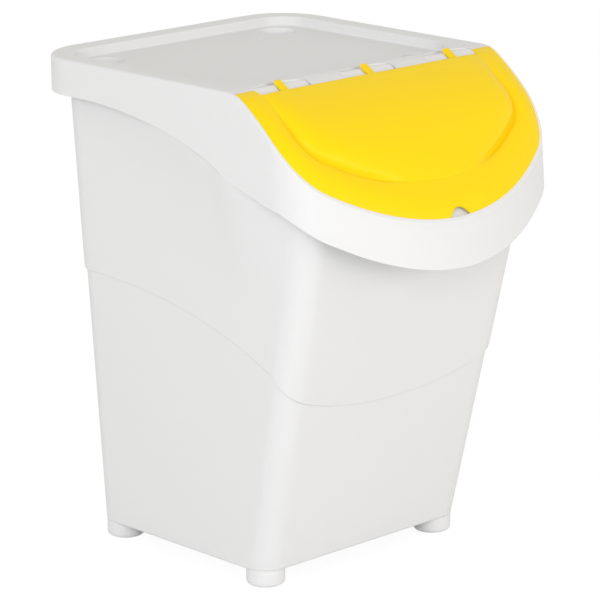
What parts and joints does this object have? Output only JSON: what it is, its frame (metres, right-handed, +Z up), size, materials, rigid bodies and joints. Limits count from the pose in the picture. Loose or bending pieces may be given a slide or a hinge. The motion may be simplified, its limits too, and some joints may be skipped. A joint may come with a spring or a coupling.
{
  "type": "waste sorting bin",
  "caption": "Tall waste sorting bin with a leaning front, a lift-off cover with a stacking tray in its top, and a domed flap that hinges up over a wide sloping mouth.",
  "frame": {"origin": "on the floor, in the middle of the outline that the bin covers", "axes": "+X across the bin, +Y from the mouth to the back, +Z up"},
  "size_m": [0.33, 0.4149, 0.4772],
  "materials": {
    "white_plastic": "satin moulded polypropylene",
    "cover_plastic": "satin moulded polypropylene",
    "yellow_plastic": "smooth satin moulded polypropylene"
  },
  "bodies": {
    "bucket": {"bin_body": "white_plastic"},
    "cover": {"top_cover": "cover_plastic"},
    "flap": {"flap_lid": "yellow_plastic"}
  },
  "joints": [
    {"name": "cover_lift", "type": "slide", "parent": "bucket", "child": "cover", "axis": [0, 0, 1], "range_m": [0, 0.2]},
    {"name": "flap_hinge", "type": "hinge", "parent": "cover", "child": "flap", "pos_m": [0, -0.07516, 0.4717], "axis": [-1, 0, 0], "range_deg": [0, 120]}
  ]
}
